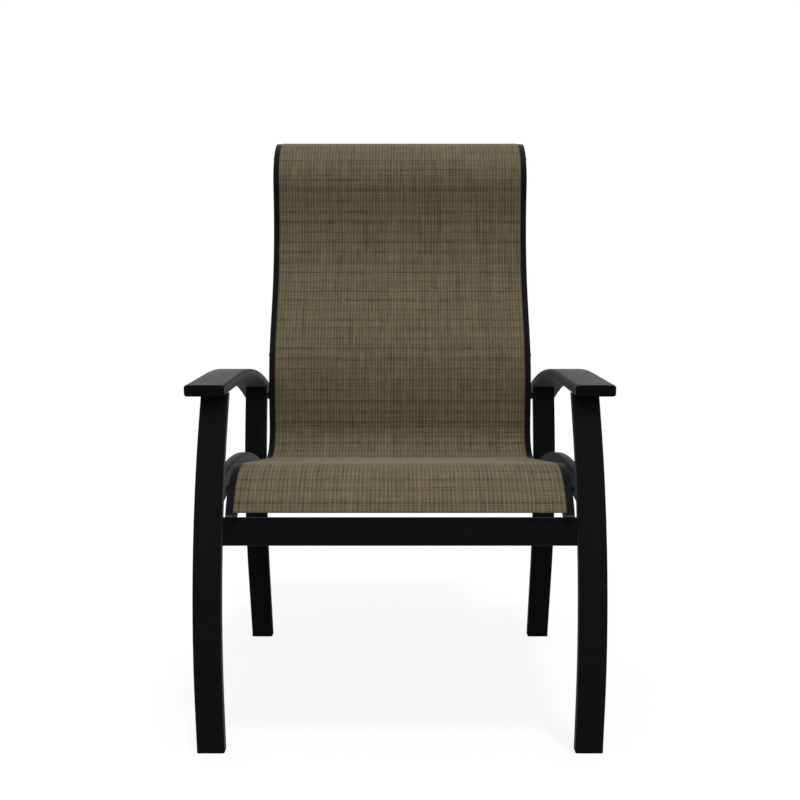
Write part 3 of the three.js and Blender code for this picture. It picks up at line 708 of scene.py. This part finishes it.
# Welded frame
def arm_height(path, along):
    """The height of the arm's top face over a point in a leg."""
    y = path.place(along, LEG_DEPTH / 2).y
    return arm_path.place(arm_path.find(lambda at: arm_path.place(at).y - y)).z


def add_leg(end, path, side, sign):
    """A leg, cut level over its glide's sole and along the underside of the arm."""
    middle = sign * (LEG_INNER_X + LEG_WIDTH / 2)
    section = rectangle(middle, LEG_WIDTH, LEG_DEPTH, LEG_CORNER)
    arm_under = ARM_DEPTH + JOIN_GAP
    meet = path.find(
        lambda along: path.place(along, LEG_DEPTH / 2).z - arm_height(path, along) + arm_under
    )
    bm = bar(section, path.stations(-LEG_FOOT_SPARE, meet + LEG_TOP_SPARE))
    bend(bm, path)
    cut(bm, (0, 0, SOLE_THICKNESS + JOIN_GAP), DOWN)
    y = path.place(meet, LEG_DEPTH / 2).y
    over = arm_path.find(lambda along: arm_path.place(along, arm_under).y - y)
    cut(bm, arm_path.place(over, arm_under), arm_path.out(over))
    name = f"{end}_leg_{side}"
    add_piece(f"bent_{name}", bm, frame_finish, name)


def add_arm(side, sign):
    """An arm, and the caps on its ends."""
    middle = sign * (LEG_INNER_X + ARM_WIDTH / 2)
    section = rectangle(middle, ARM_WIDTH, ARM_DEPTH, ARM_CORNER)
    bm = bar(section, arm_path.stations(0, arm_path.length))
    bend(bm, arm_path)
    add_piece(f"arched_arm_{side}", bm, frame_finish, f"arm_{side}")
    starts = {"front": (-JOIN_GAP, -1), "rear": (arm_path.length + JOIN_GAP, 1)}
    for end, (near, way) in starts.items():
        far = near + way * ARM_CAP_THICKNESS
        bm = bar(section, sorted((near, far)))
        round_end(bm, far, ARM_CAP_EDGE)
        bend(bm, arm_path)
        name = f"arm_{end}_cap_{side}"
        add_piece(f"moulded_{name}", bm, cap_finish, name)


def level_with_stretcher(path, along):
    """Where a leg is as high as the stretcher's middle at a length along it."""
    height = stretcher_path.place(along, STRETCHER_DEPTH / 2).z
    return path.find(lambda at: path.place(at).z - height)


def add_stretcher(side, sign):
    """A stretcher, cut along the back of the front leg and the front of the rear leg."""
    middle = sign * (LEG_INNER_X + STRETCHER_WIDTH / 2)
    section = rectangle(middle, STRETCHER_WIDTH, STRETCHER_DEPTH, STRETCHER_CORNER)
    bm = bar(section, stretcher_path.stations(0, stretcher_path.length))
    bend(bm, stretcher_path)
    front = level_with_stretcher(front_leg_path, STRETCHER_FRONT_MEET)
    cut(bm, front_leg_path.place(front, LEG_DEPTH + JOIN_GAP), front_leg_path.out(front))
    rear = level_with_stretcher(rear_leg_path, stretcher_path.length)
    cut(bm, rear_leg_path.place(rear, -JOIN_GAP), -rear_leg_path.out(rear))
    name = f"side_stretcher_{side}"
    add_piece(f"arched_{name}", bm, frame_finish, name)


def bar_across(corners, half_length, angle, place):
    """A straight bar across the chair. Its section's x runs along the angle, and z out of it."""
    bm = bar(corners, [-half_length, half_length])
    along = Vector((0, math.cos(angle), math.sin(angle)))
    out = Vector((0, -along.z, along.y))
    across = Vector((1, 0, 0))
    turn = Matrix((along, across, out)).transposed().to_4x4()
    bmesh.ops.transform(bm, matrix=Matrix.Translation(place) @ turn, verts=bm.verts)
    return bm


def add_crossbar(end):
    name = f"{end}_crossbar"
    low, high = box_low(name), box_high(name)
    place = Vector((0, low.y, (low.z + high.z) / 2))
    section = rectangle(0, high.z - low.z, CROSSBAR_DEPTH, CROSSBAR_CORNER)
    bm = bar_across(section, LEG_INNER_X - JOIN_GAP, math.pi / 2, place)
    add_piece(f"flat_{name}", bm, frame_finish, name)


# Sling rails
def rail_section(sign):
    """The rail's section, with a slot and a round groove near its inner edge."""
    slot_inner = RAIL_WIDTH - SLOT_INSET
    slot_outer = slot_inner - SLOT_WIDTH
    groove_inner = RAIL_WIDTH - GROOVE_INSET + GROOVE_RADIUS
    groove_outer = groove_inner - 2 * GROOVE_RADIUS
    groove_floor = -RAIL_WALL - 2 * GROOVE_RADIUS
    round_groove = GROOVE_RADIUS * GROOVE_ROUNDING
    corners = [
        (0, -RAIL_DEPTH, RAIL_CORNER),
        (RAIL_WIDTH, -RAIL_DEPTH, RAIL_CORNER),
        (RAIL_WIDTH, 0, RAIL_LIP),
        (slot_inner, 0, 0),
        (slot_inner, -RAIL_WALL, 0),
        (groove_inner, -RAIL_WALL - GROOVE_RADIUS, 0),
        (groove_inner, groove_floor, round_groove),
        (groove_outer, groove_floor, round_groove),
        (groove_outer, -RAIL_WALL, round_groove),
        (slot_outer, -RAIL_WALL, 0),
        (slot_outer, 0, 0),
        (0, 0, RAIL_CORNER),
    ]
    return [(sign * (RAIL_OUTER_X - inwards), z, radius) for inwards, z, radius in corners]


def plain_rail_section(sign):
    middle = sign * (RAIL_OUTER_X - RAIL_WIDTH / 2)
    return rectangle(middle, RAIL_WIDTH, RAIL_DEPTH, RAIL_CORNER)


def add_rail(side, sign):
    """A rail, cut level at its foot, and the cap on its top end."""
    name = f"sling_rail_{side}"
    bm = bar(rail_section(sign), rail_path.stations(0, rail_path.length))
    bend(bm, rail_path)
    cut(bm, (0, 0, box_low(name).z), DOWN)
    add_piece(f"bent_{name}", bm, frame_finish, name)
    near = rail_path.length + JOIN_GAP
    far = near + RAIL_CAP_THICKNESS
    bm = bar(plain_rail_section(sign), [near, far])
    round_end(bm, far, RAIL_CAP_EDGE)
    bend(bm, rail_path)
    name = f"rail_top_cap_{side}"
    add_piece(f"moulded_{name}", bm, cap_finish, name)


# Sling
def sling_line():
    """Across the sling: down in each slot, over the rail's lip, and straight between the lips."""
    edge = RAIL_OUTER_X - RAIL_WIDTH + SLOT_INSET + SLOT_WIDTH / 2
    top = JOIN_GAP + CLOTH_THICKNESS / 2
    turn_x, turn_z = edge - CLOTH_TURN, top - CLOTH_TURN
    half = [(edge, -RAIL_WALL - SPLINE_RADIUS)]
    for i in range(LIP_STEPS + 1):
        angle = math.radians(90 * i / LIP_STEPS)
        x = turn_x + CLOTH_TURN * math.cos(angle)
        half.append((x, turn_z + CLOTH_TURN * math.sin(angle)))
    half += [(turn_x * (1 - i / HALF_SLING_STEPS), top) for i in range(1, HALF_SLING_STEPS)]
    return half + [(0, top)] + [(-x, z) for x, z in reversed(half)]


def add_sling():
    """The sling, drawn along the rails. Its flat map holds the way across it and along it."""
    start, end = SLING_FRONT_TRIM, rail_path.length - SLING_TOP_TRIM
    stations = rail_path.stations(start, end)
    bm = bmesh.new()
    across = bm.verts.layers.float.new("across")
    points = [bm.verts.new((x, stations[0], z)) for x, z in sling_line()]
    travelled = 0.0
    for before, point in zip(points, points[1:]):
        travelled += (point.co - before.co).length
        point[across] = travelled
    rim = [bm.edges.new(pair) for pair in zip(points, points[1:])]
    for before, after in zip(stations, stations[1:]):
        made = bmesh.ops.extrude_edge_only(bm, edges=rim)["geom"]
        rim = of_kind(made, bmesh.types.BMEdge)
        moved = of_kind(made, bmesh.types.BMVert)
        bmesh.ops.translate(bm, verts=moved, vec=(0, after - before, 0))
    flat = bm.loops.layers.uv.new("flat")
    for face in bm.faces:
        for loop in face.loops:
            loop[flat].uv = (loop.vert[across], loop.vert.co.y)
    bend(bm, rail_path)
    sling = add_piece("woven_sling", bm, cloth_finish, "sling_fabric")
    thickness = sling.modifiers.new("cloth_thickness", "SOLIDIFY")
    thickness.thickness = CLOTH_THICKNESS
    thickness.offset = 0


# Fittings
def add_foot_glide(end, side):
    """The sole of a glide, with its lower edge rounded. Its plug is out of sight in the leg."""
    name = f"{end}_foot_glide_{side}"
    low, high = box_low(name), box_high(name)
    section = rectangle((low.x + high.x) / 2, LEG_WIDTH, high.y - low.y, LEG_CORNER)
    bm = bar(section, [0, SOLE_THICKNESS])
    round_end(bm, 0, SOLE_EDGE)
    upright = Matrix.Rotation(math.pi / 2, 4, "X")
    place = Matrix.Translation((0, low.y, 0))
    bmesh.ops.transform(bm, matrix=place @ upright, verts=bm.verts)
    add_piece(f"moulded_{name}", bm, cap_finish, name)


def add_rail_foot_pad(side, sign):
    """The pad between a rail's foot and the front crossbar, cut level at both."""
    name = f"rail_foot_pad_{side}"
    bm = bar(plain_rail_section(sign), rail_path.stations(0, RAIL_PAD_REACH))
    bend(bm, rail_path)
    cut(bm, box_low(name), DOWN)
    cut(bm, box_high(name), UP)
    add_piece(f"moulded_{name}", bm, cap_finish, name)


def add_spreader(name, measure):
    """A bar between the rails, at the place where its node's middle is by that measure."""
    middle = (box_low(name) + box_high(name)) / 2
    depth = SPREADER_SETBACK + SPREADER_DEPTH / 2
    along = rail_path.find(lambda at: measure(rail_path.place(at, depth)) - measure(middle))
    section = rectangle(0, SPREADER_HEIGHT, SPREADER_DEPTH, SPREADER_CORNER)
    half = RAIL_OUTER_X - RAIL_WIDTH - JOIN_GAP
    front = rail_path.place(along, SPREADER_SETBACK)
    bm = bar_across(section, half, rail_path.at(along)[2], front)
    add_piece(f"extruded_{name}", bm, frame_finish, name)


def ring(bm, x, radius, hexagonal=False):
    """A round or hexagonal edge loop about the X axis."""
    half_side = math.radians(30)
    made = bmesh.ops.create_circle(bm, cap_ends=False, segments=RING_SEGMENTS, radius=radius)
    verts = made["verts"]
    for vert in verts:
        reach = 1
        if hexagonal:
            turn = math.atan2(vert.co.y, vert.co.x) % (2 * half_side)
            reach = math.cos(half_side) / math.cos(turn - half_side)
        vert.co = (x, vert.co.x * reach, vert.co.y * reach)
    return [edge for edge in bm.edges if all(vert in verts for vert in edge.verts)]


def turned(*rings):
    """A surface through edge loops about the X axis."""
    bm = bmesh.new()
    loops = [ring(bm, *size) for size in rings]
    for before, after in zip(loops, loops[1:]):
        bmesh.ops.bridge_loops(bm, edges=before + after)
    return bm, loops


def place_turned(bm, node, sign):
    """Moves a turned piece to its node's axis, with +X away from the chair's middle."""
    low, high = box_low(node), box_high(node)
    start = low.x if sign > 0 else high.x
    place = Matrix.Translation((start, (low.y + high.y) / 2, (low.z + high.z) / 2))
    bmesh.ops.transform(bm, matrix=place @ Matrix.Diagonal((sign, 1, 1, 1)), verts=bm.verts)


def add_screw(name, sign, radius, head_radius, head_height):
    """A button head with a hexagon socket, and its shank."""
    length = box_high(name).x - box_low(name).x
    socket = head_radius * SOCKET_RADIUS_SHARE
    bm, loops = turned(
        (head_height * SOCKET_DEPTH_SHARE, socket, True),
        (SOCKET_RIM_DEPTH, socket, True),
        (0, socket * SOCKET_RIM_FLARE),
        *((head_height * inwards, head_radius * wide) for inwards, wide in HEAD_OUTLINE),
        (head_height, radius),
        (length, radius),
    )
    for loop in (loops[0], loops[-1]):
        bmesh.ops.holes_fill(bm, edges=loop)
    place_turned(bm, name, sign)
    add_piece(f"turned_{name}", bm, fastener_finish, name)


def add_spacer(name, sign):
    """A tube round a bolt, with the rims of its ends rounded."""
    length = box_high(name).x - box_low(name).x
    bore = BOLT_RADIUS + JOIN_GAP
    eased = SPACER_EDGE * SPACER_EDGE_EASE
    near = [
        (0, bore),
        (0, SPACER_RADIUS - SPACER_EDGE),
        (eased, SPACER_RADIUS - eased),
        (SPACER_EDGE, SPACER_RADIUS),
    ]
    far = [(length - x, reach) for x, reach in reversed(near)]
    bm, loops = turned(*near, *far)
    bmesh.ops.bridge_loops(bm, edges=loops[0] + loops[-1])
    place_turned(bm, name, sign)
    add_piece(f"turned_{name}", bm, cap_finish, name)


# Studio
FLOOR_HALF_SIZE = 8
FLOOR_GREY = (0.2, 0.2, 0.2, 1)
FLOOR_GLOSS_SHARE = 0.25
SEEN_FLOOR_GREY = (0.15, 0.15, 0.15, 1)
SEEN_FLOOR_GLOW = 0.853
ROUND_LIGHT = 0.59
FRONT_LIGHT = 0.58
FRONT_LIGHT_FROM = (0, -0.95, 0.31)
LAMP_STRENGTH = 1.15
LAMP_SPREAD = 6
LAMP_SHINES = (-0.108, 0.28, -1)
WHITE = (1, 1, 1, 1)

# The camera is set back from the foot of the front legs and looks a little down
SENSOR_WIDTH = 36
LENS = 43.456
CAMERA_SETBACK = 1.478
CAMERA_HEIGHT = 0.6766
CAMERA_TILT = 4.47


def seen_directly(nodes, links, glossy_share):
    """One for the camera's rays and rays through a clear surface, and a share for glossy ones."""
    path = nodes.new("ShaderNodeLightPath").outputs
    glossy = math_node(nodes, links, "MULTIPLY", path["Is Glossy Ray"], glossy_share)
    straight = math_node(
        nodes, links, "MAXIMUM", path["Is Camera Ray"], path["Is Transmission Ray"]
    )
    return math_node(nodes, links, "MAXIMUM", glossy, straight)


def add_floor():
    """A grey floor that takes the chair's shadow and looks nearly white to the camera."""
    bm = bmesh.new()
    bmesh.ops.create_grid(bm, x_segments=1, y_segments=1, size=FLOOR_HALF_SIZE)
    mesh = bpy.data.meshes.new("studio_floor")
    bm.to_mesh(mesh)
    bm.free()
    floor = bpy.data.objects.new("studio_floor", mesh)
    bpy.context.collection.objects.link(floor)
    material, nodes, links = new_material("pale_floor")
    shader = nodes["Principled BSDF"]
    set_sockets(shader, {"Base Color": FLOOR_GREY, "Roughness": 1, "Specular IOR Level": 0})
    seen = seen_directly(nodes, links, FLOOR_GLOSS_SHARE)
    glow = nodes.new("ShaderNodeEmission")
    strength = math_node(nodes, links, "MULTIPLY", seen, SEEN_FLOOR_GLOW)
    links.new(strength, glow.inputs["Strength"])
    pale = nodes.new("ShaderNodeBsdfDiffuse")
    set_sockets(pale, {"Color": SEEN_FLOOR_GREY})
    either = nodes.new("ShaderNodeMixShader")
    links.new(seen, either.inputs[0])
    links.new(shader.outputs["BSDF"], either.inputs[1])
    links.new(pale.outputs["BSDF"], either.inputs[2])
    both = nodes.new("ShaderNodeAddShader")
    links.new(either.outputs["Shader"], both.inputs[0])
    links.new(glow.outputs["Emission"], both.inputs[1])
    links.new(both.outputs["Shader"], nodes["Material Output"].inputs["Surface"])
    mesh.materials.append(material)


def add_world():
    """A white backdrop for the camera, and soft light from all round, with more from the front."""
    world = bpy.data.worlds.new("studio")
    world.use_nodes = True
    bpy.context.scene.world = world
    nodes, links = world.node_tree.nodes, world.node_tree.links
    place = nodes.new("ShaderNodeTexCoord")
    front = nodes.new("ShaderNodeVectorMath")
    front.operation = "DOT_PRODUCT"
    links.new(place.outputs["Generated"], front.inputs[0])
    front.inputs[1].default_value = FRONT_LIGHT_FROM
    share = math_node(nodes, links, "MAXIMUM", front.outputs["Value"], 0)
    front_light = math_node(nodes, links, "MULTIPLY", share, FRONT_LIGHT)
    light = math_node(nodes, links, "ADD", front_light, ROUND_LIGHT)
    strength = nodes.new("ShaderNodeMix")
    set_sockets(strength, {"B": 1})
    links.new(seen_directly(nodes, links, 1), strength.inputs["Factor"])
    links.new(light, strength.inputs["A"])
    background = nodes["Background"]
    set_sockets(background, {"Color": WHITE})
    links.new(strength.outputs["Result"], background.inputs["Strength"])


def add_lamp():
    lamp = bpy.data.lights.new("overhead_lamp", "SUN")
    lamp.energy = LAMP_STRENGTH
    lamp.angle = math.radians(LAMP_SPREAD)
    sun = bpy.data.objects.new("overhead_lamp", lamp)
    sun.rotation_euler = Vector(LAMP_SHINES).to_track_quat("-Z", "Y").to_euler()
    bpy.context.collection.objects.link(sun)


def add_camera():
    camera = bpy.data.cameras.new("camera")
    camera.sensor_width = SENSOR_WIDTH
    camera.lens = LENS
    viewer = bpy.data.objects.new("camera", camera)
    foot = front_leg_path.place(0).y
    viewer.location = (0, foot - CAMERA_SETBACK, CAMERA_HEIGHT)
    viewer.rotation_euler = (math.radians(90 - CAMERA_TILT), 0, 0)
    bpy.context.collection.objects.link(viewer)
    bpy.context.scene.camera = viewer


add_camera()
add_floor()
add_world()
add_lamp()
for side, sign in SIDES.items():
    add_leg("front", front_leg_path, side, sign)
    add_leg("rear", rear_leg_path, side, sign)
    add_arm(side, sign)
    add_stretcher(side, sign)
    add_rail(side, sign)
    add_rail_foot_pad(side, sign)
    for end in ENDS:
        add_foot_glide(end, side)
        add_spacer(f"{end}_rail_spacer_{side}", sign)
        bolt = f"{end}_rail_bolt_{side}"
        add_screw(bolt, sign, BOLT_RADIUS, BOLT_HEAD_RADIUS, BOLT_HEAD_HEIGHT)
    for spreader in SPREADERS:
        screw = f"{spreader}_spreader_screw_{side}"
        add_screw(screw, -sign, SCREW_RADIUS, SCREW_HEAD_RADIUS, SCREW_HEAD_HEIGHT)
for end in ENDS:
    add_crossbar(end)
for spreader, measure in SPREADERS.items():
    add_spreader(f"{spreader}_spreader", measure)
add_sling()

# The splines and the rivet nuts keep their solids, with a finish of their own
for name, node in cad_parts.items():
    if not node.hide_render:
        node.data.materials.clear()
        node.data.materials.append(spline_finish if "spline" in name else fastener_finish)

bpy.context.scene.view_settings.view_transform = "Standard"
